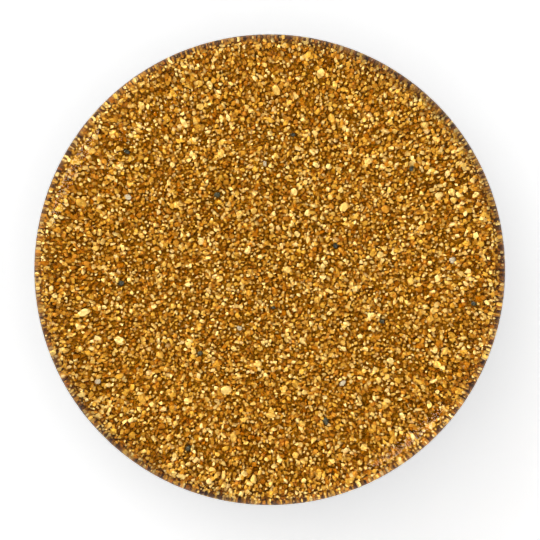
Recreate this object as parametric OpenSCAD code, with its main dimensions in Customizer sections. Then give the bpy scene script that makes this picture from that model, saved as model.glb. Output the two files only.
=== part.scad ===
// Gold sample vial: a short clear screw-top vial, packed with placer gold.
// It stands on its cap with the clear closed end up. +Z runs up the vial's axis, and the
// origin is the centre of the cap's flat end, on the surface that it stands on.

/* [Vial] */
// Outer diameter of the clear body
body_d = 25; // [20:0.5:40]
// Wall of the clear body
body_wall = 0.7; // [0.5:0.05:1.2]
// Height of the clear body, from its shoulder to its closed end
body_h = 18; // [12:0.5:40]
// Thickness of the closed end
base_t = 3.2; // [2:0.1:5]
// Width of the rounding from the closed end's flat to the wall
round_w = 4.5; // [1:0.1:6]
// Height of that rounding, which is half an ellipse's
round_h = 2.4; // [1:0.1:4]
// Inside radius where the closed end turns into the wall
corner_r = 0.6; // [0.2:0.1:2]
// Outside radius where the shoulder turns into the wall
shoulder_r = 1.9; // [1:0.1:2.2]

/* [Neck] */
// Step from the body's outside in to the neck's outside
neck_step = 2.9; // [2.8:0.1:5]
// Wall of the neck
neck_wall = 1.2; // [0.9:0.1:1.6]
// Height of the neck, from the rim to the shoulder
neck_h = 7.4; // [6.6:0.1:12]
// Radius of the rim's edges
lip_r = 0.35; // [0.1:0.05:0.4]

/* [Thread] */
// Rise of the thread in one turn
pitch = 3; // [2.6:0.1:3.6]
// Height of the thread's ridge above the neck
ridge_h = 0.8; // [0.5:0.05:0.9]
// Width of the ridge at its crest
ridge_crest = 0.7; // [0.4:0.05:0.8]
// Slope of one flank of the ridge, as width over height
flank_slope = 0.5; // [0.3:0.05:0.6]
// Plain neck between the rim and the lowest of the thread
thread_lead = 1; // [0.8:0.1:2]

/* [Cap] */
// Gap between the cap's outside and the body's outside, on the radius
cap_inset = 0.3; // [0:0.05:1]
// Thickness of the cap's flat end
cap_end_t = 1.6; // [1.2:0.1:3]
// Gap between the cap's mouth and the vial's shoulder
cap_mouth_gap = 0.4; // [0.2:0.1:1]
// Number of grip grooves round the cap
grooves = 60; // [24:1:72]
// Radius of one grip groove
groove_r = 0.36; // [0.2:0.02:0.4]
// Plain band between the grooves and the cap's mouth
mouth_band = 1; // [0.6:0.1:2]

/* [Seal and packing] */
// Thickness of the sealing liner
liner_t = 1; // [0.6:0.1:1.4]
// Thickness of the foam pad once the cap squeezes it
pad_t = 3.6; // [2:0.1:5]
// Thickness of the disc between foam and gold
disc_t = 0.4; // [0.2:0.1:0.8]

/* [Grains] */
// Larger grains that lie against the clear end, all kinds together
grain_count = 72; // [36:12:96]
// Radius of the largest flat gold grain
flake_r = 0.34; // [0.2:0.02:0.6]
// Thickness of a flat gold grain
flake_t = 0.18; // [0.1:0.02:0.4]
// Edge of a black sand grain
sand_edge = 0.34; // [0.2:0.02:0.6]
// Radius of a quartz grain
quartz_r = 0.22; // [0.2:0.02:0.5]

/* [Hidden] */
$fn = 96;

// Clearances
radial_gap = 0.2;     // between a thread's crest and the wall it faces
flank_gap = 0.06;     // between the flanks that carry the cap's pull
seat_gap = 0.02;      // between flat faces that bear on each other across a joint
fill_gap = 0.04;      // between the gold and the glass
pad_gap = 0.1;        // between the packing and the neck's bore
grain_gap = 0.03;     // between a grain and its place in the fines
overlap = 0.01;       // how far a cutter runs past the face it cuts

// Vial, from the rim up
body_r = body_d / 2;
neck_r = body_r - neck_step;
bore_r = neck_r - neck_wall;
cavity_r = body_r - body_wall;
rim_z = cap_end_t + liner_t + 2 * seat_gap;
shoulder_z = rim_z + neck_h;
end_z = shoulder_z + body_h;
cavity_low_z = shoulder_z + body_wall;
cavity_top_z = end_z - base_t;
cavity_corner_r = corner_r;
cavity_shoulder_r = shoulder_r - body_wall / 2;

// Cap
cap_r = body_r - cap_inset;
cap_h = shoulder_z - cap_mouth_gap;
cap_bore_r = neck_r + ridge_h + radial_gap;
cap_edge_r = 0.7;       // radius of the cap's outer edge
cap_lead = 0.4;         // chamfer at the cap's mouth
recess_step = 2.6;      // from the cap's outside in to the shallow recess in its end
recess_depth = 0.25;
groove_low_z = 1.4;

// Liner and the bead that keeps it in
liner_r = cap_bore_r - 0.25;
bead_r = cap_bore_r - 0.42;
bead_low_z = cap_end_t + liner_t + 0.12;
bead_t = 0.4;

// Thread: both ridges follow one helix, and the cap's bears on the neck's from above.
// The neck's runs up to the shoulder, and the cap's from its bead to its mouth.
ridge_root = ridge_crest + 2 * flank_slope * ridge_h;
ridge_bury = 0.3;       // how far a ridge's root is sunk into its wall
ridge_fade = 30;        // degrees over which a ridge rises at each end
step_angle = 9;
ridge_room = ridge_root / 2 + flank_slope * ridge_bury + 0.1;
ridge_step = ridge_root - flank_slope * (ridge_h + radial_gap) + flank_gap;
neck_thread_z = rim_z + thread_lead + ridge_room;
neck_turns = (shoulder_z - neck_thread_z - ridge_room) / pitch;
cap_thread_z = bead_low_z + bead_t + ridge_room;
cap_turns = (cap_h - cap_lead - cap_thread_z - ridge_room) / pitch;
cap_thread_a = 360 * (cap_thread_z - neck_thread_z - ridge_step) / pitch;

// Packing and gold, from the rim up
pad_low_z = rim_z;
disc_low_z = pad_low_z + pad_t;
gold_low_z = disc_low_z + disc_t;
gold_top_z = cavity_top_z - fill_gap;
gold_r = cavity_r - fill_gap;
gold_neck_r = bore_r - fill_gap;
gold_corner_r = cavity_corner_r;

// Grains are spread like sunflower seeds, so that neighbours keep their distance
golden_angle = 137.508;
grain_ring_r = gold_r - gold_corner_r - flake_r;
sand_every = 6;
quartz_every = 12;

// A half outline to spin: radius r, from z0 to z1, with its outer corners rounded low and high.
module barrel(r, z0, z1, low_r, high_r) {
    translate([0, z0 + low_r]) square([r, z1 - z0 - low_r - high_r]);
    translate([0, z0]) square([r - low_r, low_r + overlap]);
    translate([0, z1 - high_r - overlap]) square([r - high_r, high_r + overlap]);
    intersection() {
        translate([r - low_r, z0 + low_r]) circle(low_r);
        translate([0, z0]) square([r, z1 - z0]);
    }
    intersection() {
        translate([r - high_r, z1 - high_r]) circle(high_r);
        translate([0, z0]) square([r, z1 - z0]);
    }
}

// A quarter ellipse's outline, w wide and h high, from the wall up to the flat end.
function quarter_ellipse(w, h) = [for (i = [0 : 24]) [w * cos(90 * i / 24), h * sin(90 * i / 24)]];

// A helical ridge. Its root is at root_r and its crest ridge_h away, outwards or inwards.
module ridge(root_r, turns, start_z, outwards) {
    steps = floor(turns * 360 / step_angle);
    side = outwards ? 1 : -1;
    sunk_half = (ridge_root + 2 * flank_slope * ridge_bury) / 2;
    function rise(i) = min(1, max(0.04, min(i, steps - i) * step_angle / ridge_fade));
    function crest_half(i) = (ridge_root - 2 * flank_slope * ridge_h * rise(i)) / 2;
    function ring(i) = let (
        a = i * step_angle,
        z = start_z + pitch * a / 360,
        foot = root_r - side * ridge_bury,
        tip = root_r + side * ridge_h * rise(i)
    ) [for (p = [[foot, -sunk_half], [tip, -crest_half(i)], [tip, crest_half(i)], [foot, sunk_half]])
        [p[0] * cos(a), p[0] * sin(a), z + p[1]]];
    points = [for (i = [0 : steps]) each ring(i)];
    sides = [for (i = [0 : steps - 1]) for (k = [0 : 3]) let (
        a = 4 * i + k,
        b = 4 * i + (k + 1) % 4
    ) each [[a, b, b + 4], [a, b + 4, a + 4]]];
    last = 4 * steps;
    ends = [[0, 3, 2], [0, 2, 1], [last, last + 1, last + 2], [last, last + 2, last + 3]];
    faces = concat(sides, ends);
    polyhedron(points, outwards ? faces : [for (f = faces) [f[2], f[1], f[0]]], convexity = 6);
}

module vial_body() color([0.86, 0.93, 0.95, 0.35]) {
    rotate_extrude() difference() {
        union() {
            barrel(body_r, shoulder_z, end_z - round_h, shoulder_r, overlap);
            translate([0, end_z - round_h - 2 * overlap])
                square([body_r, 2 * overlap]);
            translate([body_r - round_w, end_z - round_h])
                polygon(concat([[round_w - body_r, 0]], quarter_ellipse(round_w, round_h),
                               [[round_w - body_r, round_h]]));
            barrel(neck_r, rim_z, shoulder_z + shoulder_r, lip_r, overlap);
        }
        barrel(cavity_r, cavity_low_z, cavity_top_z, cavity_shoulder_r, cavity_corner_r);
        translate([0, rim_z - 1]) square([bore_r, cavity_low_z - rim_z + 2]);
    }
    ridge(neck_r, neck_turns, neck_thread_z, true);
}

module screw_cap() color([0.05, 0.05, 0.055]) {
    difference() {
        rotate_extrude() difference() {
            barrel(cap_r, 0, cap_h, cap_edge_r, overlap);
            translate([0, cap_end_t]) square([cap_bore_r, cap_h]);
            translate([0, -1]) square([cap_r - recess_step, 1 + recess_depth]);
            translate([cap_bore_r - overlap, cap_h + overlap])
                polygon([[0, -cap_lead], [cap_lead, 0], [0, 0]]);
        }
        for (i = [0 : grooves - 1]) rotate(i * 360 / grooves)
            translate([cap_r + groove_r * 0.25, 0, groove_low_z])
                cylinder(r = groove_r, h = cap_h - mouth_band - groove_low_z, $fn = 24);
    }
    rotate_extrude() translate([bead_r, bead_low_z])
        square([cap_bore_r - bead_r + 0.2, bead_t]);
    rotate(cap_thread_a) ridge(cap_bore_r, cap_turns, cap_thread_z, false);
}

module cap_liner() color([0.93, 0.93, 0.9])
    translate([0, 0, cap_end_t + seat_gap]) cylinder(r = liner_r, h = liner_t);

module foam_pad() color([0.16, 0.16, 0.17])
    translate([0, 0, pad_low_z]) cylinder(r = bore_r - pad_gap, h = pad_t);

module backing_disc() color([0.95, 0.94, 0.9])
    translate([0, 0, disc_low_z]) cylinder(r = bore_r - pad_gap, h = disc_t);

function is_sand(i) = i % sand_every == 2;
function is_quartz(i) = i % quartz_every == 7;
function is_flake(i) = !is_sand(i) && !is_quartz(i);

// Moves a grain to its place under the clear end.
module at_grain(i)
    rotate(i * golden_angle)
        translate([grain_ring_r * sqrt((i + 0.5) / grain_count), 0, gold_top_z]) rotate(i * 47) children();

// One grain of the kind that belongs at place i, made larger by grow.
module grain(i, grow = 0) {
    flake_size = flake_r * (0.78 + 0.22 * cos(97 * i));
    if (is_flake(i)) translate([0, 0, -flake_t - grow])
        cylinder(r = flake_size + grow, h = flake_t + grow + overlap * (grow > 0 ? 1 : 0), $fn = 5 + i % 3);
    if (is_sand(i)) translate([-sand_edge / 2 - grow, -sand_edge / 2 - grow, -sand_edge - grow])
        cube([sand_edge + 2 * grow, sand_edge + 2 * grow, sand_edge + grow + (grow > 0 ? overlap : 0)]);
    if (is_quartz(i)) translate([0, 0, -quartz_r - grow])
        cylinder(r = quartz_r + grow, h = quartz_r + grow + (grow > 0 ? overlap : 0), $fn = 5);
}

module gold_fines() color([0.78, 0.55, 0.18])
    difference() {
        rotate_extrude() {
            barrel(gold_r, cavity_low_z + fill_gap, gold_top_z, cavity_shoulder_r, gold_corner_r);
            translate([0, gold_low_z]) square([gold_neck_r, cavity_low_z - gold_low_z + 1]);
        }
        for (i = [0 : grain_count - 1]) at_grain(i) grain(i, grain_gap);
    }

module coarse_gold() color([0.95, 0.72, 0.3])
    for (i = [0 : grain_count - 1]) if (is_flake(i)) at_grain(i) grain(i);

module black_sand() color([0.12, 0.13, 0.1])
    for (i = [0 : grain_count - 1]) if (is_sand(i)) at_grain(i) grain(i);

module quartz_grains() color([0.82, 0.78, 0.68])
    for (i = [0 : grain_count - 1]) if (is_quartz(i)) at_grain(i) grain(i);

vial_body();
screw_cap();
cap_liner();
foam_pad();
backing_disc();
gold_fines();
coarse_gold();
black_sand();
quartz_grains();
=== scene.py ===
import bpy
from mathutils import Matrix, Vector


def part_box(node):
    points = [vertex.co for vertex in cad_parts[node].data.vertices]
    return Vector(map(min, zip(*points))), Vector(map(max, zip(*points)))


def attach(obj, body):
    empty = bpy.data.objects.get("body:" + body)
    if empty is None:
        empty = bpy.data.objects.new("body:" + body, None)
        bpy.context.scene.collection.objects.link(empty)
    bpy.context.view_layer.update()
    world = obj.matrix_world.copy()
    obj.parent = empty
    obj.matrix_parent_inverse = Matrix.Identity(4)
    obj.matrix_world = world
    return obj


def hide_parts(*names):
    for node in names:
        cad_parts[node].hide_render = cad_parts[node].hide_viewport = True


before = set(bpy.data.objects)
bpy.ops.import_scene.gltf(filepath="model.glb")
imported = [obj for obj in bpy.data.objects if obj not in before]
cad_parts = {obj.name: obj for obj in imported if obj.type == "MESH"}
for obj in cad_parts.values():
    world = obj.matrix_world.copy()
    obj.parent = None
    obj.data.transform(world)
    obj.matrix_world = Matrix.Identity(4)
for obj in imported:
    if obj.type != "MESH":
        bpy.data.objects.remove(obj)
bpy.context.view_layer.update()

import math
import bpy
import mathutils
import numpy as np

# ---------------------------------------------------------------------------------------
# GLASS VIAL
# A short clear glass vial, moulded with a thick rounded closed end and a neck with one
# right-hand screw ridge. It is fire polished, so every edge is soft and the skin is glossy.
# It stands on its cap, so the rim is low and the closed end is up.
mm = 0.001
vial_low, vial_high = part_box("vial_body")
gold_low, gold_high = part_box("gold_fines")
body_r = vial_high.x
rim_z, end_z = vial_low.z, vial_high.z
fill_gap = 0.04 * mm                    # between the glass and the gold
cavity_r, cavity_top = gold_high.x + fill_gap, gold_high.z + fill_gap
neck_r, bore_r = body_r - 2.9 * mm, body_r - 4.1 * mm
shoulder_z = rim_z + 7.4 * mm
cavity_floor = shoulder_z + 0.7 * mm
lip = 0.35 * mm                         # rounding of the rim, inside and outside
throat = 0.3 * mm                       # rounding where the bore opens into the cavity
inner_heel, outer_heel = 1.55 * mm, 1.9 * mm    # roundings of the shoulder
corner = 0.6 * mm                       # rounding of the cavity's closed end
round_w, round_h = 4.5 * mm, 2.4 * mm   # rounding of the closed end outside, half an ellipse's
pitch = 3 * mm                          # rise of the screw in one turn
neck_ridge_z = rim_z + 2 * mm           # middle of the ridge where it starts, at angle 0
neck_ridge_turns = 4.4 / 3
ridge_shape = (0.78 * mm, 0.71 * mm, 0.33 * mm)    # height, half the root's width, half the crest's


def bend(centre_r, centre_z, width, height, start, stop, steps):
    """Rows along an arc of an ellipse, with its angles in degrees: 0 is outwards and 90 is up."""
    turn = np.radians(np.linspace(start, stop, steps))
    return [(centre_r + width * math.cos(a), centre_z + height * math.sin(a)) for a in turn]


def straight(start, stop, steps):
    """Rows along a straight line, without its first point."""
    return [(start[0] + (stop[0] - start[0]) * k / steps, start[1] + (stop[1] - start[1]) * k / steps)
            for k in range(1, steps + 1)]


def screw_ridge(heights, start_z, turns, start_angle, columns):
    """How far a screw ridge stands up at each height and column: one rounded helix, faded at its ends."""
    tall, root, crest = ridge_shape
    turn = np.arange(columns) * 2 * np.pi / columns
    stand = np.zeros((len(heights), columns))
    for lap in range(-2, 4):
        run = turn - start_angle + lap * 2 * np.pi
        across = np.abs(np.asarray(heights)[:, None] - (start_z + pitch * run / (2 * np.pi))[None, :])
        fade = np.clip(np.minimum(run, turns * 2 * np.pi - run) / math.radians(30), 0, 1)
        side = np.clip((root - across) / (root - crest), 0, 1)
        side = side * side * (3 - 2 * side)
        stand = np.maximum(stand, tall * side * (fade * fade * (3 - 2 * fade))[None, :])
    return stand


def plain_mesh(name, points, faces=(), smooth_below=None):
    """A mesh from plain numbers, with its edges smoothed where they turn by less than an angle."""
    mesh = bpy.data.meshes.new(name)
    mesh.from_pydata([tuple(map(float, p)) for p in points], [], list(faces))
    if smooth_below is not None:
        mesh.polygons.foreach_set("use_smooth", [True] * len(mesh.polygons))
        mesh.set_sharp_from_angle(angle=math.radians(smooth_below))
    return mesh


def band(low, high, columns):
    """Four-sided faces between two rings of points, from the numbers of the rings' first points."""
    return [(low + c, low + (c + 1) % columns, high + (c + 1) % columns, high + c) for c in range(columns)]


def turned_mesh(name, rows, columns=256):
    """A closed skin round the Z axis. A row is (radius, height), with one radius or one per column.
    The rows start and end on the axis, and the outer wall is passed on the way up."""
    turn = np.arange(columns) * 2 * np.pi / columns
    points, starts, faces = [(0.0, 0.0, float(rows[0][1]))], [], []
    for radius, height in rows[1:-1]:
        starts.append(len(points))
        points.extend(zip(radius * np.cos(turn), radius * np.sin(turn), np.full(columns, float(height))))
    last = len(points)
    points.append((0.0, 0.0, float(rows[-1][1])))
    faces += [(0, starts[0] + (c + 1) % columns, starts[0] + c) for c in range(columns)]
    for low, high in zip(starts, starts[1:]):
        faces += band(low, high, columns)
    faces += [(starts[-1] + c, starts[-1] + (c + 1) % columns, last) for c in range(columns)]
    return plain_mesh(name, points, faces, 50)


def new_piece(name, mesh, material):
    """A piece whose mesh is already in place, with its material."""
    piece = bpy.data.objects.new(name, mesh)
    bpy.context.scene.collection.objects.link(piece)
    mesh.materials.append(material)
    return piece


def plug(node, **inputs):
    """Sets inputs of a node to numbers or to links. Each is named, or is numbered as in0, in1 and so on."""
    for name, value in inputs.items():
        numbered = name.startswith("in") and name[2:].isdigit()
        socket = node.inputs[int(name[2:]) if numbered else name.replace("_", " ")]
        if isinstance(value, bpy.types.NodeSocket):
            node.id_data.links.new(value, socket)
        else:
            socket.default_value = value


def add_node(tree, kind, settings=None, **inputs):
    """One node with its settings and its inputs."""
    made = tree.nodes.new(kind)
    for name, value in (settings or {}).items():
        setattr(made, name, value)
    plug(made, **inputs)
    return made


def maths(tree, operation, first, second=0.0):
    return add_node(tree, "ShaderNodeMath", {"operation": operation}, in0=first, in1=second).outputs[0]


def times(tree, first, second):
    return maths(tree, "MULTIPLY", first, second)


def plus(tree, first, second):
    return maths(tree, "ADD", first, second)


def vector(tree, operation, first, second):
    return add_node(tree, "ShaderNodeVectorMath", {"operation": operation}, in0=first, in1=second).outputs[0]


def scaled(tree, arrow, factor):
    return add_node(tree, "ShaderNodeVectorMath", {"operation": "SCALE"}, in0=arrow, Scale=factor).outputs[0]


def length(tree, arrow):
    return add_node(tree, "ShaderNodeVectorMath", {"operation": "LENGTH"}, in0=arrow).outputs["Value"]


def xyz(tree, **axes):
    return add_node(tree, "ShaderNodeCombineXYZ", None, **axes).outputs[0]


def object_place(tree):
    return add_node(tree, "ShaderNodeTexCoord").outputs["Object"]


def own_value(tree, name):
    return add_node(tree, "ShaderNodeAttribute", {"attribute_name": name}).outputs["Fac"]


def noise(tree, place, scale, detail, **more):
    return add_node(tree, "ShaderNodeTexNoise", None, Vector=place, Scale=scale, Detail=detail,
                    **more).outputs["Fac"]


def ranged(tree, value, low, high, **more):
    return add_node(tree, "ShaderNodeMapRange", None, Value=value, To_Min=low, To_Max=high,
                    **more).outputs[0]


def eased(tree, value, start, stop, low=0.0, high=1.0):
    """Like ranged, from a start to a stop, with soft ends."""
    return add_node(tree, "ShaderNodeMapRange", {"interpolation_type": "SMOOTHSTEP"}, Value=value,
                    From_Min=start, From_Max=stop, To_Min=low, To_Max=high).outputs[0]


def mixed(tree, share, first, second):
    return add_node(tree, "ShaderNodeMix", {"data_type": "RGBA"}, in0=share, in6=first,
                    in7=second).outputs[2]


def shades(tree, share, *colours):
    """The colour that a share from 0 to 1 picks from colours set at even steps."""
    ramp = add_node(tree, "ShaderNodeValToRGB", None, Fac=share)
    steps = ramp.color_ramp.elements
    for k in range(1, len(colours) - 1):
        steps.new(k / (len(colours) - 1))
    for step, colour in zip(steps, colours):
        step.color = (*colour, 1)
    return ramp.outputs[0]


def bump(tree, strength, distance, height, inward=False):
    return add_node(tree, "ShaderNodeBump", {"invert": inward}, Strength=strength, Distance=distance,
                    Height=height).outputs[0]


def ask(tree, kind, **defaults):
    """Inputs of one kind for a node group, each with its default, or None for no default."""
    for name, value in defaults.items():
        socket = tree.interface.new_socket(name.replace("_", " "), in_out="INPUT",
                                           socket_type="NodeSocket" + kind)
        if value is not None:
            socket.default_value = value


def give(tree, kind, **results):
    """Outputs of one kind for a node group, with what goes into each."""
    for name in results:
        tree.interface.new_socket(name, in_out="OUTPUT", socket_type="NodeSocket" + kind)
    plug(tree.nodes.new("NodeGroupOutput"), **results)


def new_material(name):
    """A new material, with its tree and its Principled node."""
    material = bpy.data.materials.new(name)
    material.use_nodes = True
    tree = material.node_tree
    return material, tree, tree.nodes["Principled BSDF"]


def dust_group():
    """Soft patches of dust and handling marks. It gives a mask from 0 to 1."""
    tree = bpy.data.node_groups.new("surface_dust", "ShaderNodeTree")
    ask(tree, "Float", Patch_Size=4 * mm, Amount=0.4, Seed=0.0)
    given = tree.nodes.new("NodeGroupInput").outputs
    moved = vector(tree, "ADD", object_place(tree), given["Seed"])
    scale = maths(tree, "DIVIDE", 1.0, given["Patch Size"])
    patches = noise(tree, moved, scale, 6.0, Roughness=0.62)
    mask = eased(tree, patches, maths(tree, "SUBTRACT", 0.95, given["Amount"]), 0.95)
    give(tree, "Float", Mask=mask)
    return tree


surface_dust = dust_group()


def dust_mask(tree, size, amount, seed):
    """The dust group placed in a material with its own values."""
    return add_node(tree, "ShaderNodeGroup", {"node_tree": surface_dust}, Patch_Size=size, Amount=amount,
                    Seed=seed).outputs["Mask"]


def glass_material():
    material, tree, skin = new_material("clear_glass")
    rough = ranged(tree, dust_mask(tree, 3.2 * mm, 0.38, 0.3), 0.0, 0.06)
    plug(skin, Base_Color=(0.985, 0.995, 0.992, 1), Roughness=rough, Transmission_Weight=1.0, IOR=1.5,
         Specular_Tint=(0.01, 0.01, 0.01, 1))
    # Light from the lamps shines straight through, so that it reaches the gold without being refracted
    clear = add_node(tree, "ShaderNodeBsdfTransparent", None, Color=(0.96, 0.965, 0.96, 1)).outputs[0]
    shadow = add_node(tree, "ShaderNodeLightPath").outputs["Is Shadow Ray"]
    both = add_node(tree, "ShaderNodeMixShader", None, in0=shadow, in1=skin.outputs[0], in2=clear)
    plug(tree.nodes["Material Output"], Surface=both.outputs[0])
    return material


neck_heights = list(np.linspace(rim_z + lip, shoulder_z, 76))[1:]
neck_stand = screw_ridge(neck_heights, neck_ridge_z, neck_ridge_turns, 0, 256)
glass_rows = (
    [(0, cavity_top)] + straight((0, cavity_top), (cavity_r - corner, cavity_top), 6)
    + bend(cavity_r - corner, cavity_top - corner, corner, corner, 90, 0, 12)[1:]
    + straight((cavity_r, cavity_top - corner), (cavity_r, cavity_floor + inner_heel), 10)
    + bend(cavity_r - inner_heel, cavity_floor + inner_heel, inner_heel, inner_heel, 0, -90, 14)[1:]
    + straight((cavity_r - inner_heel, cavity_floor), (bore_r + throat, cavity_floor), 3)
    + bend(bore_r + throat, cavity_floor - throat, -throat, throat, 90, 0, 6)[1:]
    + straight((bore_r, cavity_floor - throat), (bore_r, rim_z + lip), 8)
    + bend(bore_r + lip, rim_z + lip, -lip, -lip, 0, 90, 7)[1:]
    + bend(neck_r - lip, rim_z + lip, lip, lip, -90, 0, 7)
    + [(neck_r + stand, height) for stand, height in zip(neck_stand, neck_heights)]
    + straight((neck_r, shoulder_z), (body_r - outer_heel, shoulder_z), 3)
    + bend(body_r - outer_heel, shoulder_z + outer_heel, outer_heel, outer_heel, -90, 0, 18)[1:]
    + straight((body_r, shoulder_z + outer_heel), (body_r, end_z - round_h), 12)
    + bend(body_r - round_w, end_z - round_h, round_w, round_h, 0, 90, 44)[1:]
    + straight((body_r - round_w, end_z), (0.6 * mm, end_z), 6) + [(0, end_z)]
)
glass = new_piece("glass_vial", turned_mesh("glass_vial", glass_rows), glass_material())
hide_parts("vial_body")
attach(glass, "vial")

# ---------------------------------------------------------------------------------------
# PACKED PLACER GOLD
# Fine water-worn placer gold, sieved to a quarter of a millimetre, that fills the vial up
# to its glass. The bed is the mass behind the grains that show, painted dark as shade; the
# grains are poured in loose, shaken down and held tight by the foam below them.


def gold_material(name, dark, plain, bright, roughness, odd=1.0):
    """Gold grains, each with its own tint: dull and rusty, plain, or freshly rubbed and bright."""
    material, tree, skin = new_material(name)
    tint, kind, place = own_value(tree, "tint"), own_value(tree, "kind"), object_place(tree)
    # Noise patches, placed at random, pull the grains towards their dark tint
    dark_patches = ranged(tree, noise(tree, place, 9000.0, 3.0), 0.0, 0.35, From_Min=0.52, From_Max=0.75)
    worn = mixed(tree, dark_patches, shades(tree, tint, dark, plain, bright), (*dark, 1))
    # One grain in twenty is iron stained, and one in forty is pale with silver
    worn = mixed(tree, maths(tree, "GREATER_THAN", kind, 1 - 0.05 * odd), worn, (0.66, 0.29, 0.03, 1))
    worn = mixed(tree, maths(tree, "LESS_THAN", kind, 0.025 * odd), worn, (0.94, 0.68, 0.27, 1))
    hammered = bump(tree, 0.5, 0.012 * mm, noise(tree, place, 22000.0, 2.0))
    plug(skin, Base_Color=worn, Metallic=1.0, Normal=hammered,
         Roughness=ranged(tree, tint, roughness + 0.12, roughness - 0.05))
    return material


fine_gold = gold_material("fine_gold_grains", (0.46, 0.15, 0.002), (0.79, 0.455, 0.057),
                          (0.97, 0.72, 0.26), 0.6)
# A darker copy of the fine gold for the grains that lie behind the face: painted shade, as less light gets
# down to them
gold_in_painted_shade = gold_material("deep_gold_grains", (0.26, 0.085, 0.001), (0.50, 0.22, 0.009),
                          (0.80, 0.46, 0.08), 0.6)


def painted_shade_bed_material():
    """The mass of grains that lie too deep to tell apart, with a granular skin. Its dark brown is painted
    shade, darker than the gold in front.
    """
    material, tree, skin = new_material("gold_bed")
    cells = add_node(tree, "ShaderNodeTexVoronoi", None, Vector=object_place(tree), Scale=5200.0).outputs
    plug(skin, Base_Color=shades(tree, cells["Color"], (0.12, 0.04, 0.001), (0.42, 0.17, 0.006)),
         Metallic=1.0, Roughness=0.6, Normal=bump(tree, 1.0, 0.1 * mm, cells["Distance"], inward=True))
    return material


gold_r, gold_top = gold_high.x, gold_high.z
neck_gold_r = bore_r - fill_gap
bed_sink = 0.24 * mm                    # how far the bed lies behind the face of the gold
bed_r, bed_top, bed_corner = gold_r - bed_sink, gold_top - bed_sink, 0.4 * mm
bed_neck_r, bed_floor = neck_gold_r - bed_sink, cavity_floor + bed_sink
bed_rows = (
    [(0, gold_low.z)] + straight((0, gold_low.z), (bed_neck_r, gold_low.z), 4)
    + straight((bed_neck_r, gold_low.z), (bed_neck_r, bed_floor), 8)
    + bend(bed_r - inner_heel, bed_floor + inner_heel, inner_heel, inner_heel, -90, 0, 12)
    + straight((bed_r, bed_floor + inner_heel), (bed_r, bed_top - bed_corner), 10)
    + bend(bed_r - bed_corner, bed_top - bed_corner, bed_corner, bed_corner, 0, 90, 7)[1:]
    + straight((bed_r - bed_corner, bed_top), (0.5 * mm, bed_top), 8) + [(0, bed_top)]
)
bed = new_piece("gold_bed", turned_mesh("gold_bed", bed_rows, 128), painted_shade_bed_material())
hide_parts("gold_fines")
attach(bed, "vial")


def chance(tree, given, seed, low=0.0, high=1.0):
    """A random number for each grain, with a seed of its own on top of the tree's."""
    return add_node(tree, "FunctionNodeRandomValue", {"data_type": "FLOAT"}, in2=low, in3=high,
                    Seed=plus(tree, given["Seed"], seed)).outputs[1]


def position(tree):
    return add_node(tree, "GeometryNodeInputPosition").outputs[0]


def less(tree, first, second):
    return add_node(tree, "FunctionNodeCompare", {"data_type": "FLOAT", "operation": "LESS_THAN"}, in0=first,
                    in1=second).outputs[0]


def without(tree, points, chosen):
    return add_node(tree, "GeometryNodeDeleteGeometry", {"domain": "POINT"}, Geometry=points,
                    Selection=chosen).outputs[0]


def scattered(tree, given):
    """Where the grains go, and which way they face: spread over the seat's faces, or on its points."""
    spread = add_node(tree, "GeometryNodeDistributePointsOnFaces", {"distribute_method": "POISSON"},
                      Mesh=given["Geometry"], Distance_Min=given["Spacing"], Density_Max=9e7,
                      Seed=given["Seed"]).outputs
    placed = add_node(tree, "GeometryNodeMeshToPoints", None, Mesh=given["Geometry"]).outputs["Points"]
    points = add_node(tree, "GeometryNodeSwitch", {"input_type": "GEOMETRY"}, in0=given["On Points"],
                      in1=spread["Points"], in2=placed).outputs[0]
    facing = add_node(tree, "GeometryNodeSwitch", {"input_type": "ROTATION"}, in0=given["On Points"],
                      in1=spread["Rotation"]).outputs[0]
    depth = times(tree, chance(tree, given, 11), given["Sink Spread"])
    sunk = scaled(tree, spread["Normal"], times(tree, depth, -1.0))
    points = add_node(tree, "GeometryNodeSetPosition", None, Geometry=points, Offset=sunk).outputs[0]
    # Keep clear of the larger grains
    others = add_node(tree, "GeometryNodeObjectInfo", None, Object=given["Clear Of"]).outputs["Geometry"]
    near = add_node(tree, "GeometryNodeProximity", {"target_element": "POINTS"}, in0=others).outputs
    close = less(tree, near["Distance"], given["Clear Radius"])
    crowded = add_node(tree, "FunctionNodeBooleanMath", {"operation": "AND"}, in0=close,
                       in1=near["Is Valid"]).outputs[0]
    points = without(tree, points, crowded)
    # A large seat is grown in two halves, which together are what it would be in one
    across = add_node(tree, "ShaderNodeSeparateXYZ", None, Vector=position(tree)).outputs[0]
    other_half = less(tree, times(tree, across, given["Keep Side"]), 0.0)
    return without(tree, points, other_half), facing


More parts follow.
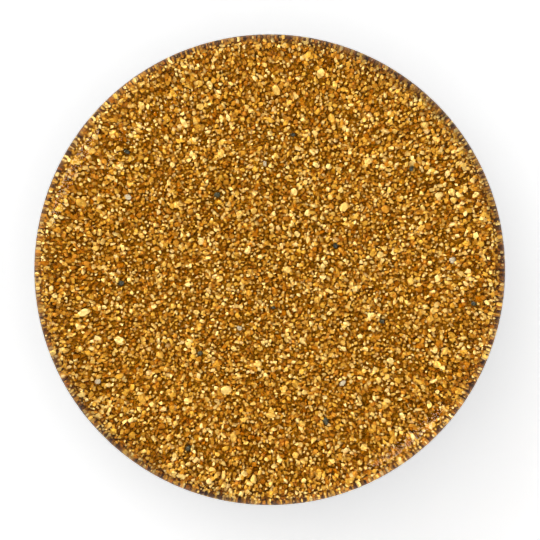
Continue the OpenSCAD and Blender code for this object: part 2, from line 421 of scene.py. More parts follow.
def chips(tree, given, points, facing):
    """A chip at each point, made irregular by its own turn, size and flatness and by a lumpy skin."""
    chip = add_node(tree, "GeometryNodeMeshIcoSphere", None, Radius=1.0,
                    Subdivisions=given["Detail"]).outputs[0]
    turn = add_node(tree, "FunctionNodeEulerToRotation", None, in0=xyz(
        tree, X=times(tree, chance(tree, given, 21, -1), given["Tilt"]),
        Y=times(tree, chance(tree, given, 22, -1), given["Tilt"]),
        Z=chance(tree, given, 23, 0, 6.283))).outputs[0]
    turned = add_node(tree, "FunctionNodeRotateRotation", {"rotation_space": "LOCAL"}, in0=facing,
                      in1=turn).outputs[0]
    large = times(tree, maths(tree, "POWER", chance(tree, given, 31), 2.5), given["Size Spread"])
    size = times(tree, plus(tree, large, 0.82), given["Grain Size"])
    flat = times(tree, size, given["Flatness"])
    flat = times(tree, flat, chance(tree, given, 32, 0.75, 1.25))
    shape = xyz(tree, X=times(tree, size, chance(tree, given, 33, 0.85, 1.3)),
                Y=times(tree, size, chance(tree, given, 34, 0.7, 1.0)), Z=flat)
    made = add_node(tree, "GeometryNodeInstanceOnPoints", None, Points=points, Instance=chip,
                    Rotation=turned, Scale=shape).outputs[0]
    level = vector(tree, "MULTIPLY", position(tree), (1.0, 1.0, 0.0))
    for name, value in (("tint", chance(tree, given, 41)), ("kind", chance(tree, given, 42)),
                        ("home_r", length(tree, level))):
        made = add_node(tree, "GeometryNodeStoreNamedAttribute",
                        {"data_type": "FLOAT", "domain": "INSTANCE"},
                        Geometry=made, Name=name, Value=value).outputs[0]
    made = add_node(tree, "GeometryNodeRealizeInstances", None, Geometry=made).outputs[0]
    lumps = add_node(tree, "ShaderNodeTexNoise", None, Vector=position(tree), Scale=24000.0, Detail=0.0)
    lumps = vector(tree, "SUBTRACT", lumps.outputs["Color"], (0.5, 0.5, 0.5))
    lumps = scaled(tree, lumps, times(tree, given["Roughness"], 2.0))
    return add_node(tree, "GeometryNodeSetPosition", None, Geometry=made, Offset=lumps).outputs[0]


def pressed(tree, given, grains):
    """Grains pressed against the glass: no point passes its wall, its end or the corner between them.
    Rim Squash narrows each grain along the radius, about the place where it lies."""
    axes = add_node(tree, "ShaderNodeSeparateXYZ", None, Vector=position(tree)).outputs
    reach = length(tree, xyz(tree, X=axes[0], Y=axes[1]))
    home_r = add_node(tree, "GeometryNodeInputNamedAttribute", {"data_type": "FLOAT"},
                      Name="home_r").outputs[0]
    off_home = times(tree, maths(tree, "SUBTRACT", reach, home_r), given["Rim Squash"])
    narrowed = plus(tree, home_r, off_home)
    inner_r = maths(tree, "SUBTRACT", given["Glass Radius"], given["Glass Corner"])
    inner_z = maths(tree, "SUBTRACT", given["Glass Top"], given["Glass Corner"])
    past_r = maths(tree, "MAXIMUM", maths(tree, "SUBTRACT", narrowed, inner_r), 0.0)
    past_z = maths(tree, "MAXIMUM", maths(tree, "SUBTRACT", axes[2], inner_z), 0.0)
    past = maths(tree, "SQRT", plus(tree, times(tree, past_r, past_r), times(tree, past_z, past_z)))
    share = maths(tree, "MINIMUM", maths(tree, "DIVIDE", given["Glass Corner"], past), 1.0)
    new_r = plus(tree, maths(tree, "MINIMUM", narrowed, inner_r), times(tree, past_r, share))
    new_z = plus(tree, maths(tree, "MINIMUM", axes[2], inner_z), times(tree, past_z, share))
    ratio = maths(tree, "DIVIDE", new_r, reach)
    inside = xyz(tree, X=times(tree, axes[0], ratio), Y=times(tree, axes[1], ratio), Z=new_z)
    return add_node(tree, "GeometryNodeSetPosition", None, Geometry=grains, Position=inside).outputs[0]


def hand_over(tree, given, made):
    """The end of a tree: what it made, in the material it was given."""
    coated = add_node(tree, "GeometryNodeSetMaterial", None, Geometry=made, Material=given["Material"])
    give(tree, "Geometry", Geometry=coated.outputs[0])


def grain_tree():
    """Loose grains over a seat's faces, or one at each of its points: rough chips of a few facets,
    turned at random, each with its own tint, and pressed flat where they meet the glass."""
    tree = bpy.data.node_groups.new("loose_grains", "GeometryNodeTree")
    tree.is_modifier = True
    ask(tree, "Geometry", Geometry=None)
    ask(tree, "Float", Spacing=0.2 * mm, Grain_Size=0.14 * mm, Size_Spread=0.8, Flatness=0.6, Tilt=0.9,
        Sink_Spread=0.11 * mm, Roughness=0.085 * mm, Glass_Radius=12 * mm, Glass_Top=25 * mm,
        Glass_Corner=0.6 * mm, Clear_Radius=0.2 * mm, Keep_Side=0.0, Rim_Squash=1.0)
    ask(tree, "Int", Seed=1, Detail=1)
    ask(tree, "Bool", On_Points=False)
    ask(tree, "Object", Clear_Of=None)
    ask(tree, "Material", Material=None)
    given = tree.nodes.new("NodeGroupInput").outputs
    points, facing = scattered(tree, given)
    hand_over(tree, given, pressed(tree, given, chips(tree, given, points, facing)))
    return tree


loose_grains = grain_tree()


def grow(name, seat, tree, slot, body, **values):
    """Runs a tree on a helper mesh, and keeps what it makes as a plain piece that rides on a body."""
    helper = bpy.data.objects.new(name + "_seat", seat)
    bpy.context.scene.collection.objects.link(helper)
    modifier = helper.modifiers.new(name, "NODES")
    modifier.node_group = tree
    for socket in tree.interface.items_tree:
        key = socket.name.replace(" ", "_")
        if getattr(socket, "in_out", "") == "INPUT" and key in values:
            modifier[socket.identifier] = values[key]
    bpy.context.view_layer.update()
    made = helper.evaluated_get(bpy.context.evaluated_depsgraph_get())
    mesh = bpy.data.meshes.new_from_object(made)
    mesh.name = name
    helper.modifiers.remove(modifier)
    bpy.data.objects.remove(helper)
    piece = bpy.data.objects.new(name, mesh)
    bpy.context.scene.collection.objects.link(piece)
    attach(piece, body)
    return piece


def seat_skin(rows, columns=96):
    """An open skin round the Z axis for grains to lie on. Its outer wall is passed on the way up."""
    turn = np.arange(columns) * 2 * np.pi / columns
    points = [(max(r, 1e-6) * math.cos(a), max(r, 1e-6) * math.sin(a), z) for r, z in rows for a in turn]
    faces = []
    for low in range(0, (len(rows) - 1) * columns, columns):
        faces += band(low, low + columns, columns)
    return plain_mesh("seat", points, faces)


def face_seat(sink, rim_turn):
    """A seat under the closed end: an even mesh over its flat, and the rounding beside it from an angle."""
    flat_r, step, around = gold_r - corner, 0.8 * mm, 96
    rim = [(flat_r * math.cos(a), flat_r * math.sin(a)) for a in np.arange(around) * 2 * np.pi / around]
    grid = [((i + 0.5 * (j % 2)) * step, j * step * 0.866) for i in range(-15, 16) for j in range(-17, 18)]
    grid = [p for p in grid if math.hypot(*p) < flat_r - 0.4 * step]
    spots = [mathutils.Vector(p) / mm for p in rim + grid]
    rim_edges = [(k, (k + 1) % around) for k in range(around)]
    flat, _, faces = mathutils.geometry.delaunay_2d_cdt(spots, rim_edges, [], 1, 1e-6)[:3]
    points = [(p.x * mm, p.y * mm, gold_top - sink) for p in flat]
    rounding = seat_skin(bend(flat_r, gold_top - corner, corner - sink, corner - sink, rim_turn, 90, 7))
    start = len(points)
    points += [tuple(v.co) for v in rounding.vertices]
    faces = [tuple(f) for f in faces] + [tuple(start + i for i in p.vertices) for p in rounding.polygons]
    return plain_mesh("face_seat", points, faces)


# The places of the larger grains, spread like sunflower seeds under the flat of the glass
grain_count = 72
ring_r = gold_r - corner - 0.34 * mm    # so the outermost of them clear the rounding
places = []
for i in range(grain_count):
    place_r, place_turn = ring_r * math.sqrt((i + 0.5) / grain_count), math.radians(137.508 * i)
    places.append((place_r * math.cos(place_turn), place_r * math.sin(place_turn)))


def points_mesh(name, chosen, depth):
    return plain_mesh(name, [(*places[i], gold_top - depth) for i in chosen])


all_places = points_mesh("larger_grain_places", range(grain_count), 0.1 * mm)
larger = bpy.data.objects.new("larger_grain_places", all_places)
bpy.context.scene.collection.objects.link(larger)
glass_side = dict(Glass_Radius=gold_r, Glass_Top=gold_top, Glass_Corner=corner)
seat_depth, behind_depth = 0.06 * mm, 0.2 * mm      # of the seats under the face of the gold
for name, side in (("left_face_grains", -1.0), ("right_face_grains", 1.0)):
    grow(name, face_seat(seat_depth, 70), loose_grains, "fine_gold", "vial", Seed=5, Keep_Side=side,
         Spacing=0.142 * mm, Grain_Size=0.088 * mm, Size_Spread=1.2, Flatness=0.6, Tilt=0.9,
         Roughness=0.085 * mm, Clear_Of=larger, Clear_Radius=0.2 * mm, Material=fine_gold, **glass_side)
# Finer grains work into the rounding between the flat and the wall
rim_bend = corner - seat_depth
rows = bend(gold_r - corner, gold_top - corner, rim_bend, rim_bend, 0, 72, 8)
grow("rim_grains", seat_skin(rows), loose_grains, "fine_gold", "vial", Seed=9, Spacing=0.086 * mm,
     Grain_Size=0.072 * mm, Size_Spread=1.0, Flatness=0.45, Tilt=0.45, Sink_Spread=0.06 * mm,
     Roughness=0.04 * mm, Rim_Squash=0.6, Material=fine_gold, **glass_side)
# The layer behind the face takes the darker copy of the gold, painted shade
grow("face_grains_behind", face_seat(behind_depth, 0), loose_grains, "fine_gold", "vial", Seed=17,
     Spacing=0.2 * mm, Grain_Size=0.13 * mm, Roughness=0.09 * mm, Material=gold_in_painted_shade, **glass_side)
wall_low, wall_top = cavity_floor + 1.6 * mm, gold_top - corner
wall_middle = (wall_low + wall_top) / 2
for name, low, high, seed in (("upper_wall_grains", wall_middle, wall_top, 31),
                              ("lower_wall_grains", wall_low, wall_middle, 32)):
    rows = [(gold_r - seat_depth, low + (high - low) * k / 6) for k in range(7)]
    grow(name, seat_skin(rows), loose_grains, "fine_gold", "vial", Seed=seed, Spacing=0.2 * mm,
         Grain_Size=0.125 * mm, Material=fine_gold, **glass_side)
behind_low, behind_step = wall_top - 2.2 * mm, 0.44 * mm    # a second layer, for the top of the wall
rows = [(gold_r - behind_depth, behind_low + behind_step * k) for k in range(6)]
# The layer behind the wall takes the darker copy of the gold, painted shade
grow("wall_grains_behind", seat_skin(rows), loose_grains, "fine_gold", "vial", Seed=35, Spacing=0.2 * mm,
     Grain_Size=0.13 * mm, Material=gold_in_painted_shade, **glass_side)
heel_bend = inner_heel - 0.15 * mm
rows = [(neck_gold_r, cavity_floor + 0.16 * mm)]
rows += bend(gold_r - inner_heel, cavity_floor + inner_heel + fill_gap, heel_bend, heel_bend, -90, 0, 9)
grow("shoulder_grains", seat_skin(rows), loose_grains, "fine_gold", "vial", Seed=41, Spacing=0.21 * mm,
     Grain_Size=0.13 * mm, Sink_Spread=0.03 * mm, Material=fine_gold, **glass_side)
neck_seat_r = neck_gold_r - 0.12 * mm
rows = [(neck_seat_r, gold_low.z + 0.15 * mm), (neck_seat_r, cavity_floor + 0.1 * mm)]
grow("neck_grains", seat_skin(rows), loose_grains, "fine_gold", "vial", Seed=51, Spacing=0.24 * mm,
     Grain_Size=0.15 * mm, Material=fine_gold, **{**glass_side, "Glass_Radius": neck_gold_r})

# ---------------------------------------------------------------------------------------
# LARGER GRAINS
# Flat hammered flakes and pickers of gold, two to three times the size of the fines, that
# lie against the clear end among them. They came down the same stream and were never sorted.
coarse_gold = gold_material("coarse_gold_flakes", (0.66, 0.34, 0.04), (0.90, 0.55, 0.12),
                            (1.0, 0.73, 0.26), 0.5, 0.4)
flakes = [i for i in range(grain_count) if i % 6 != 2 and i % 12 != 7]
piece = grow("coarse_gold_flakes", points_mesh("flakes", flakes, 0.085 * mm), loose_grains, "coarse_gold",
             "vial", On_Points=True, Detail=2, Seed=61, Grain_Size=0.2 * mm, Size_Spread=0.55,
             Flatness=0.4, Tilt=0.25, Roughness=0.06 * mm, Material=coarse_gold, **glass_side)
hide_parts("coarse_gold")

# ---------------------------------------------------------------------------------------
# BLACK SAND
# Heavy dark sand, mostly magnetite and hematite, that pans down with the gold. A few grains
# are always left, and they show as dark greenish specks with a dull iron shine.


def sand_material():
    material, tree, skin = new_material("black_sand")
    grit = noise(tree, object_place(tree), 26000.0, 3.0)
    tint = own_value(tree, "tint")
    plug(skin, Base_Color=shades(tree, tint, (0.012, 0.012, 0.004), (0.060, 0.052, 0.018)),
         Roughness=ranged(tree, grit, 0.25, 0.6), Normal=bump(tree, 0.6, 0.01 * mm, grit))
    return material


sand = [i for i in range(grain_count) if i % 6 == 2]
piece = grow("black_sand_grains", points_mesh("sand", sand, 0.12 * mm), loose_grains, "black_sand", "vial",
             On_Points=True, Detail=2, Seed=71, Grain_Size=0.15 * mm, Size_Spread=0.3,
             Flatness=0.8, Tilt=1.2, Roughness=0.05 * mm, Material=sand_material(), **glass_side)
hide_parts("black_sand")

# ---------------------------------------------------------------------------------------
# QUARTZ BITS
# Chips of milky vein quartz that the gold grew in, tumbled and frosted in the stream. They
# are softer in look than the metal: pale, a little see-through and never bright.


def quartz_material():
    material, tree, skin = new_material("milky_quartz")
    cloud = noise(tree, object_place(tree), 6000.0, 4.0)
    plug(skin, Base_Color=shades(tree, cloud, (0.36, 0.25, 0.11), (0.66, 0.56, 0.38)), Roughness=0.45,
         Subsurface_Weight=0.25, Subsurface_Radius=(0.2 * mm, 0.16 * mm, 0.1 * mm), Subsurface_Scale=1.0)
    return material


quartz = [i for i in range(grain_count) if i % 12 == 7]
piece = grow("quartz_bits", points_mesh("quartz", quartz, 0.12 * mm), loose_grains, "quartz", "vial",
             On_Points=True, Detail=2, Seed=81, Grain_Size=0.18 * mm, Size_Spread=0.3,
             Flatness=0.75, Tilt=1.0, Roughness=0.05 * mm, Material=quartz_material(), **glass_side)
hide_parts("quartz_grains")
bpy.data.objects.remove(larger)

# ---------------------------------------------------------------------------------------
# CARD DISC
# A punched disc of off-white card between the gold and the foam, so that no grain works
# into the foam. Its edge is cut, so the layers of the card show there as fine lines.


def card_material():
    material, tree, skin = new_material("punched_card")
    stretched = add_node(tree, "ShaderNodeMapping", None, Vector=object_place(tree), Scale=(1, 3, 12))
    fibres = noise(tree, stretched.outputs[0], 4000.0, 5.0)
    clean = shades(tree, fibres, (0.60, 0.55, 0.45), (0.90, 0.87, 0.79))
    marked = mixed(tree, dust_mask(tree, 1.5 * mm, 0.42, 0.1), clean, (0.62, 0.46, 0.22, 1))
    plug(skin, Base_Color=marked, Roughness=0.85, Normal=bump(tree, 0.4, 0.03 * mm, fibres))
    return material


disc_low, disc_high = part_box("backing_disc")
edge = 0.07 * mm
disc_flat_r = disc_high.x - edge
card_rows = (
    [(0, disc_low.z)] + straight((0, disc_low.z), (disc_flat_r, disc_low.z), 6)
    + bend(disc_flat_r, disc_low.z + edge, edge, edge, -90, 0, 5)[1:]
    + bend(disc_flat_r, disc_high.z - edge, edge, edge, 0, 90, 5)
    + straight((disc_flat_r, disc_high.z), (0.4 * mm, disc_high.z), 6) + [(0, disc_high.z)]
)
card = new_piece("card_disc", turned_mesh("card_disc", card_rows, 128), card_material())
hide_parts("backing_disc")
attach(card, "vial")

# ---------------------------------------------------------------------------------------
# FOAM PLUG
# A punched plug of charcoal open-cell foam, squeezed between the card and the liner. It
# takes up the last space, so the gold can't shift. The squeeze makes its side bulge softly.


def pits_group():
    """Small round pits over a surface. It gives a mask, which the materials use to paint shade into the
    pits, and a height that goes into a Bump.
    """
    tree = bpy.data.node_groups.new("pitted_surface", "ShaderNodeTree")
    ask(tree, "Float", Pit_Size=0.3 * mm, Pit_Share=0.5)
    given = tree.nodes.new("NodeGroupInput").outputs
    cells = add_node(tree, "ShaderNodeTexVoronoi", {"feature": "F1"}, Vector=object_place(tree),
                     Scale=maths(tree, "DIVIDE", 1.0, given["Pit Size"])).outputs["Distance"]
    mask = eased(tree, cells, 0.15, given["Pit Share"], 1.0, 0.0)
    give(tree, "Float", Mask=mask, Height=maths(tree, "SUBTRACT", 1.0, mask))
    return tree


pitted_surface = pits_group()


def pits(tree, size, share):
    """The pits group placed in a material with its own values."""
    return add_node(tree, "ShaderNodeGroup", {"node_tree": pitted_surface}, Pit_Size=size,
                    Pit_Share=share).outputs


def foam_material():
    material, tree, skin = new_material("charcoal_foam")
    cells = pits(tree, 0.34 * mm, 0.55)
    # The pits are painted near black: painted shade in the open cells, over the charcoal of the foam
    plug(skin, Base_Color=mixed(tree, cells["Mask"], (0.085, 0.085, 0.09, 1), (0.012, 0.012, 0.013, 1)),
         Roughness=0.95, Sheen_Weight=0.25, Normal=bump(tree, 0.9, 0.12 * mm, cells["Height"]))
    return material


pad_low, pad_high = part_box("foam_pad")
pad_edge = 0.5 * mm                     # rounding of the plug's ends
waist = 0.16 * mm                       # how far the plug's ends draw in from its bulged side
slack = 0.05 * mm                       # between the plug's side and its full size, for the ripples
pad_r = pad_high.x - slack
pad_flat_r, puff = pad_high.x - waist - pad_edge, 0.02 * mm
turn = np.arange(128) * 2 * np.pi / 128
side = []
for k in range(1, 20):
    share = k / 20
    bulge = math.sin(math.pi * share)
    ripple = (0.03 * np.sin(5 * turn + 2.1 * share) + 0.02 * np.sin(11 * turn + 7 * share)) * bulge * mm
    side.append((pad_r - waist * (1 - bulge) + ripple,
                 pad_low.z + pad_edge + (pad_high.z - pad_low.z - 2 * pad_edge) * share))
foam_rows = (
    [(0, pad_low.z + puff)] + straight((0, pad_low.z + puff), (pad_flat_r, pad_low.z), 8)
    + bend(pad_flat_r - slack, pad_low.z + pad_edge, pad_edge, pad_edge, -90, 0, 8)[1:] + side
    + bend(pad_flat_r - slack, pad_high.z - pad_edge, pad_edge, pad_edge, 0, 90, 8)
    + straight((pad_flat_r, pad_high.z), (0.4 * mm, pad_high.z - puff), 8) + [(0, pad_high.z - puff)]
)
foam = new_piece("foam_plug", turned_mesh("foam_plug", foam_rows, 128), foam_material())
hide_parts("foam_pad")
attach(foam, "vial")

# ---------------------------------------------------------------------------------------
# CAP LINER
# A loose sealing disc of white foamed polyethylene, punched from sheet, that turns with the
# rim when the cap is screwed off. The rim has pressed a shallow ring into it.


def liner_material():
    material, tree, skin = new_material("white_liner_foam")
    cells = pits(tree, 0.16 * mm, 0.4)
    # The pits are painted grey: painted shade in the cells of the white foam
    clean = mixed(tree, cells["Mask"], (0.86, 0.86, 0.83, 1), (0.68, 0.68, 0.65, 1))
    used = mixed(tree, dust_mask(tree, 2.6 * mm, 0.4, 0.7), clean, (0.62, 0.55, 0.42, 1))
    plug(skin, Base_Color=used, Roughness=0.5, Subsurface_Weight=0.15, Subsurface_Scale=1.0,
         Subsurface_Radius=(0.4 * mm, 0.4 * mm, 0.4 * mm),
         Normal=bump(tree, 0.35, 0.03 * mm, cells["Height"]))
    return material


liner_low, liner_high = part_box("cap_liner")
liner_edge = 0.12 * mm
liner_flat_r = liner_high.x - liner_edge
press = 0.05 * mm                       # depth of the ring that the rim leaves
top = liner_high.z
liner_rows = (
    [(0, liner_low.z)] + straight((0, liner_low.z), (liner_flat_r, liner_low.z), 6)
    + bend(liner_flat_r, liner_low.z + liner_edge, liner_edge, liner_edge, -90, 0, 6)[1:]
    + bend(liner_flat_r, top - liner_edge, liner_edge, liner_edge, 0, 90, 6)
    + [(neck_r + 0.12 * mm, top), (neck_r + 0.02 * mm, top - 0.02 * mm), (neck_r - 0.1 * mm, top - press),
       (bore_r + 0.1 * mm, top - press), (bore_r - 0.02 * mm, top - 0.02 * mm), (bore_r - 0.12 * mm, top)]
    + straight((bore_r - 0.12 * mm, top), (0.4 * mm, top), 6) + [(0, top)]
)
liner = new_piece("liner_disc", turned_mesh("liner_disc", liner_rows), liner_material())
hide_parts("cap_liner")
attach(liner, "liner")

# ---------------------------------------------------------------------------------------
# SCREW CAP
# A turned aluminium cap, anodised satin black, that screws on with one start. A bead inside
# its mouth keeps the liner in. Its outer end has a shallow turned recess, so that it stands
# on a ring, and its grip is straight ribs that are knurled between a plain end and a band.


def cap_material():
    material, tree, skin = new_material("black_anodised")
    place = object_place(tree)
    dust = dust_mask(tree, 5 * mm, 0.36, 0.5)
    axes = add_node(tree, "ShaderNodeSeparateXYZ", None, Vector=place).outputs
    # The lathe's tool marks run round the axis, so their noise is read by radius and height alone
    reach = length(tree, xyz(tree, X=axes[0], Y=axes[1]))
    lathe = noise(tree, xyz(tree, X=reach, Z=axes[2]), 9000.0, 3.0)
    rubbed = times(tree, own_value(tree, "worn"), noise(tree, place, 1700.0, 6.0, Roughness=0.7))
    coat = shades(tree, lathe, (0.016, 0.016, 0.018), (0.034, 0.034, 0.037))
    dusty = mixed(tree, dust, coat, (0.075, 0.072, 0.066, 1))
    colour = mixed(tree, eased(tree, rubbed, 0.50, 0.66), dusty, (0.62, 0.62, 0.63, 1))
    plug(skin, Base_Color=colour, Metallic=0.75, Roughness=ranged(tree, dust, 0.34, 0.6),
         Normal=bump(tree, 0.3, 0.012 * mm, lathe))
    return material


anodised = cap_material()
cap_r, cap_h = body_r - 0.3 * mm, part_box("screw_cap")[1].z
cap_bore, cap_floor = neck_r + 1.0 * mm, 1.6 * mm
recess_r, recess_deep = 9.45 * mm, 0.25 * mm
recess_bend, ring_bend = 0.15 * mm, 0.1 * mm    # roundings in the recess and on the ring beside it
ring_in_r = recess_r + recess_bend + ring_bend
edge_bend, mouth_bend, floor_bend = 0.7 * mm, 0.15 * mm, 0.15 * mm
bead_z, bead_in, bead_half = 2.92 * mm, 0.42 * mm, 0.2 * mm
rib_low, rib_high = 1.4 * mm, cap_h - 1 * mm
groove_depth, groove_r, rib_count = 0.27 * mm, 0.36 * mm, 60
core_r = cap_r - groove_depth
cap_ridge_z = 4.12 * mm
ridge_step = 1.06 * mm                  # from the neck's ridge up to the cap's, which hangs on it
cap_ridge_angle = math.radians(360 * (cap_ridge_z - neck_ridge_z - ridge_step) / pitch)
cap_columns = 240
bore_heights = list(np.linspace(cap_h - 0.4 * mm, bead_z + bead_half, 70))
bore_stand = screw_ridge(bore_heights, cap_ridge_z, 1.373, cap_ridge_angle, cap_columns)
cap_rows = (
    [(0, recess_deep)] + straight((0, recess_deep), (recess_r, recess_deep), 12)
    + bend(recess_r, recess_deep - recess_bend, recess_bend, recess_bend, 90, 0, 5)[1:]
    + bend(ring_in_r, ring_bend, -ring_bend, -ring_bend, 0, 90, 5)
    + straight((ring_in_r, 0), (cap_r - edge_bend, 0), 3)
    + bend(cap_r - edge_bend, edge_bend, edge_bend, edge_bend, -90, 0, 12)[1:]
    + [(cap_r, rib_low - 0.06 * mm), (cap_r - 0.06 * mm, rib_low),
       (core_r + 0.03 * mm, rib_low + 0.02 * mm), (core_r, rib_low + 0.1 * mm)]
    + straight((core_r, rib_low + 0.1 * mm), (core_r, rib_high - 0.1 * mm), 6)
    + [(core_r + 0.03 * mm, rib_high - 0.02 * mm), (cap_r - 0.06 * mm, rib_high),
       (cap_r, rib_high + 0.06 * mm)]
    + straight((cap_r, rib_high + 0.06 * mm), (cap_r, cap_h - mouth_bend), 2)
    + bend(cap_r - mouth_bend, cap_h - mouth_bend, mouth_bend, mouth_bend, 0, 90, 5)[1:]
    + straight((cap_r - mouth_bend, cap_h), (cap_bore + 0.45 * mm, cap_h), 2)
    + [(cap_bore + 0.4 * mm, cap_h - 0.03 * mm)]
    + [(cap_bore - stand, height) for stand, height in zip(bore_stand, bore_heights)]
    + bend(cap_bore, bead_z, -bead_in, bead_half, 90, -90, 9)[1:]
    + straight((cap_bore, bead_z - bead_half), (cap_bore, cap_floor + floor_bend), 3)
    + bend(cap_bore - floor_bend, cap_floor + floor_bend, floor_bend, floor_bend, 0, -90, 4)[1:]
    + straight((cap_bore - floor_bend, cap_floor), (0.5 * mm, cap_floor), 6) + [(0, cap_floor)]
)
cap_mesh = turned_mesh("cap_shell", cap_rows, cap_columns)
# The coat is rubbed thin along the edges that hands and tables meet
points = np.array([v.co for v in cap_mesh.vertices])
reach = np.hypot(points[:, 0], points[:, 1])
worn = np.zeros(len(points))
for edge_r, edge_z, size in (
        (cap_r - 0.2 * mm, 0.2 * mm, 0.45 * mm), (cap_r, rib_low, 0.3 * mm), (cap_r, rib_high, 0.3 * mm),
        (cap_r, cap_h, 0.35 * mm), (recess_r + recess_bend, 0.0, 0.4 * mm),
        (cap_bore + 0.4 * mm, cap_h, 0.3 * mm)):
    worn = np.maximum(worn, np.clip(1.25 - np.hypot(reach - edge_r, points[:, 2] - edge_z) / size, 0, 1))
cap_mesh.attributes.new("worn", "FLOAT", "POINT").data.foreach_set("value", worn.astype(np.float32))
cap = new_piece("cap_shell", cap_mesh, anodised)
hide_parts("screw_cap")
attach(cap, "cap")


def rib_tree():
    """Straight ribs round a cap: one rib's outline, swept upright and set round the axis by its number."""
    tree = bpy.data.node_groups.new("grip_ribs", "GeometryNodeTree")
    tree.is_modifier = True
    ask(tree, "Geometry", Geometry=None)
    ask(tree, "Int", Ribs=60)
    ask(tree, "Float", Radius=12 * mm, Low=1 * mm)
    ask(tree, "Material", Material=None)
    given = tree.nodes.new("NodeGroupInput").outputs
    ring = add_node(tree, "GeometryNodeMeshCircle", None, Vertices=given["Ribs"], Radius=given["Radius"])
    # A groove stands at angle 0, so the ribs are half a step on
    number = add_node(tree, "GeometryNodeInputIndex").outputs[0]
    half_step = maths(tree, "DIVIDE", 0.5, given["Ribs"])
    share = plus(tree, maths(tree, "DIVIDE", number, given["Ribs"]), half_step)
    angle = times(tree, share, 2 * math.pi)
    way = xyz(tree, X=maths(tree, "COSINE", angle), Y=maths(tree, "SINE", angle))
    where = vector(tree, "ADD", scaled(tree, way, given["Radius"]), xyz(tree, Z=given["Low"]))
    ring = add_node(tree, "GeometryNodeSetPosition", None, Geometry=ring.outputs[0], Position=where)
    facing = add_node(tree, "FunctionNodeEulerToRotation", None, in0=xyz(tree, Z=angle)).outputs[0]
    ribs = add_node(tree, "GeometryNodeInstanceOnPoints", None, Points=ring.outputs[0],
                    Instance=given["Geometry"], Rotation=facing).outputs[0]
    hand_over(tree, given, add_node(tree, "GeometryNodeRealizeInstances", None, Geometry=ribs).outputs[0])
    return tree


def one_rib():
    """The outline of a rib between two grooves, from its sunk foot over its land, lofted from end to end."""
    step = 2 * math.pi * cap_r / rib_count
    land = step / 2 - math.sqrt(groove_r ** 2 - (groove_r * 0.25) ** 2)
    flank = [(-groove_depth - 0.05 * mm, -step / 2 + 0.12 * mm),
             (-groove_depth + 0.01 * mm, -step / 2 + 0.16 * mm),
             (-0.16 * mm, -land - 0.07 * mm), (-0.07 * mm, -land - 0.02 * mm),
             (-0.02 * mm, -land + 0.03 * mm), (0, -land + 0.09 * mm)]
    outline = flank + [(x, -y) for x, y in reversed(flank)]
    levels, n = np.linspace(-0.08 * mm, rib_high - rib_low + 0.08 * mm, 9), len(outline)
    points = [(x, y, z) for z in levels for x, y in outline]
    faces = []
    for low in range(0, (len(levels) - 1) * n, n):
        faces += band(low, low + n, n)
    faces += [tuple(reversed(range(n))), tuple(range(len(points) - n, len(points)))]
    mesh = plain_mesh("one_rib", points, faces, 60)
    # Worn along the edges of its land, a little on the land itself and not on its flanks
    worn = [0.75 if -0.1 * mm < x < -0.01 * mm else 0.35 if x > -0.1 * mm else 0.0 for x, y, z in points]
    mesh.attributes.new("worn", "FLOAT", "POINT").data.foreach_set("value", worn)
    return mesh


grow("grip_ribs", one_rib(), rib_tree(), "cap", "cap", Ribs=rib_count, Radius=cap_r, Low=rib_low,
     Material=anodised)

# ---------------------------------------------------------------------------------------
# TABLE, LIGHT AND CAMERA
# A sheet of plain white paper under a soft studio tent, with a key softbox to the upper left,
# a wide one behind it and two low ones at the sides. The camera looks straight down.


def seen_straight(tree):
    """1 for what is looked at, past glass or not, and 0 for light that has bounced off anything."""
    path = add_node(tree, "ShaderNodeLightPath").outputs
    return maths(tree, "LESS_THAN", plus(tree, path["Diffuse Depth"], path["Glossy Depth"]), 0.5)


def floor_material():
    """White paper that looks brighter than the light it throws on what stands on it."""
    material, tree, skin = new_material("white_paper")
    tree.nodes.remove(skin)
    pulp = ranged(tree, noise(tree, object_place(tree), 60.0, 3.0), 0.97, 1.0)
    paper = add_node(tree, "ShaderNodeBsdfDiffuse", None, Color=scaled(tree, (0.5, 0.5, 0.5), pulp))
    bright = add_node(tree, "ShaderNodeBsdfDiffuse", None, Color=(1.7, 1.7, 1.7, 1))
    both = add_node(tree, "ShaderNodeMixShader", None, in0=seen_straight(tree), in1=paper.outputs[0],
                    in2=bright.outputs[0])
    plug(tree.nodes["Material Output"], Surface=both.outputs[0])
    return material


sheet, under = 3.0, -0.02 * mm          # half the sheet's width, and its height below the cap
corners = [(x * sheet, y * sheet, under) for x, y in ((-1, -1), (1, -1), (1, 1), (-1, 1))]
floor = new_piece("table_sheet", plain_mesh("table_sheet", corners, [(0, 1, 2, 3)]), floor_material())

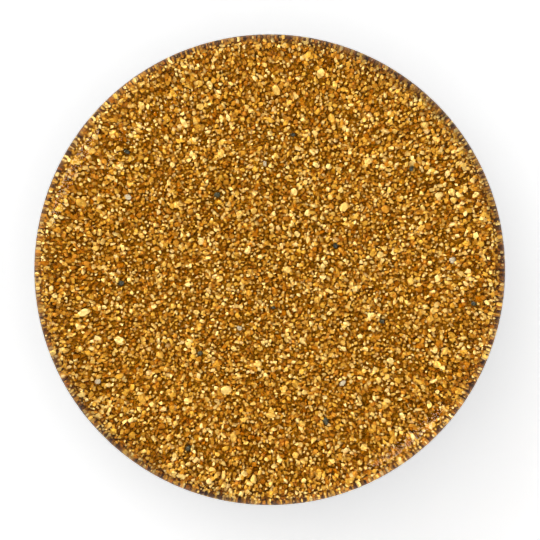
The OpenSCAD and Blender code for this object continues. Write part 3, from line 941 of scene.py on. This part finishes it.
world = bpy.data.worlds.new("studio_tent")
bpy.context.scene.world = world
world.use_nodes = True
tree = world.node_tree
way = add_node(tree, "ShaderNodeTexCoord").outputs["Generated"]
up = add_node(tree, "ShaderNodeSeparateXYZ", None, Vector=way).outputs[2]
# The tent is brightest overhead, where its diffuser is, and falls off to the table
crown = eased(tree, up, 0.05, 0.85, 0.38, 0.78)
glow = add_node(tree, "ShaderNodeMix", {"data_type": "FLOAT"}, in0=seen_straight(tree), in2=crown, in3=1.05)
plug(tree.nodes["Background"], Strength=glow.outputs[0], Color=(1, 1, 1, 1))
# The tent is smooth enough to do without its own sampling, and its light passes the glass by refraction
world.cycles.sampling_method = "NONE"


def softbox(name, place, size, power):
    lamp = bpy.data.lights.new(name, "AREA")
    lamp.shape, lamp.size, lamp.energy = "DISK", size, power
    box = bpy.data.objects.new(name, lamp)
    bpy.context.scene.collection.objects.link(box)
    box.location = place
    aim = -box.location.normalized()
    box.rotation_euler = aim.to_track_quat("-Z", "Y").to_euler()
    box.visible_camera = False
    box.visible_transmission = False
    return box


# The key and the two low boxes are flagged off the table, so that only the wide box shades it
flag = bpy.data.collections.new("flagged_off")
flag.objects.link(floor)
flag.collection_objects[0].light_linking.link_state = "EXCLUDE"
for box in (softbox("softbox_key", (-0.20, 0.24, 0.46), 0.22, 1.05),
            softbox("softbox_right", (0.34, -0.42, 0.17), 0.26, 1.3),
            softbox("softbox_left", (-0.46, 0.22, 0.15), 0.26, 1.0)):
    box.light_linking.receiver_collection = flag
softbox("softbox_wide", (-0.30, 0.36, 0.60), 0.60, 0.6)

lens = bpy.data.cameras.new("camera")
lens.lens, lens.sensor_width = 376.8, 36.0
lens.clip_start, lens.clip_end = 0.01, 20
camera = bpy.data.objects.new("camera", lens)
bpy.context.scene.collection.objects.link(camera)
camera.location = (0.016 * mm, -0.016 * mm, end_z - round_h + 0.3)
camera.rotation_euler = (0, 0, 0)
bpy.context.scene.camera = camera
bpy.context.scene.view_settings.view_transform = "Standard"
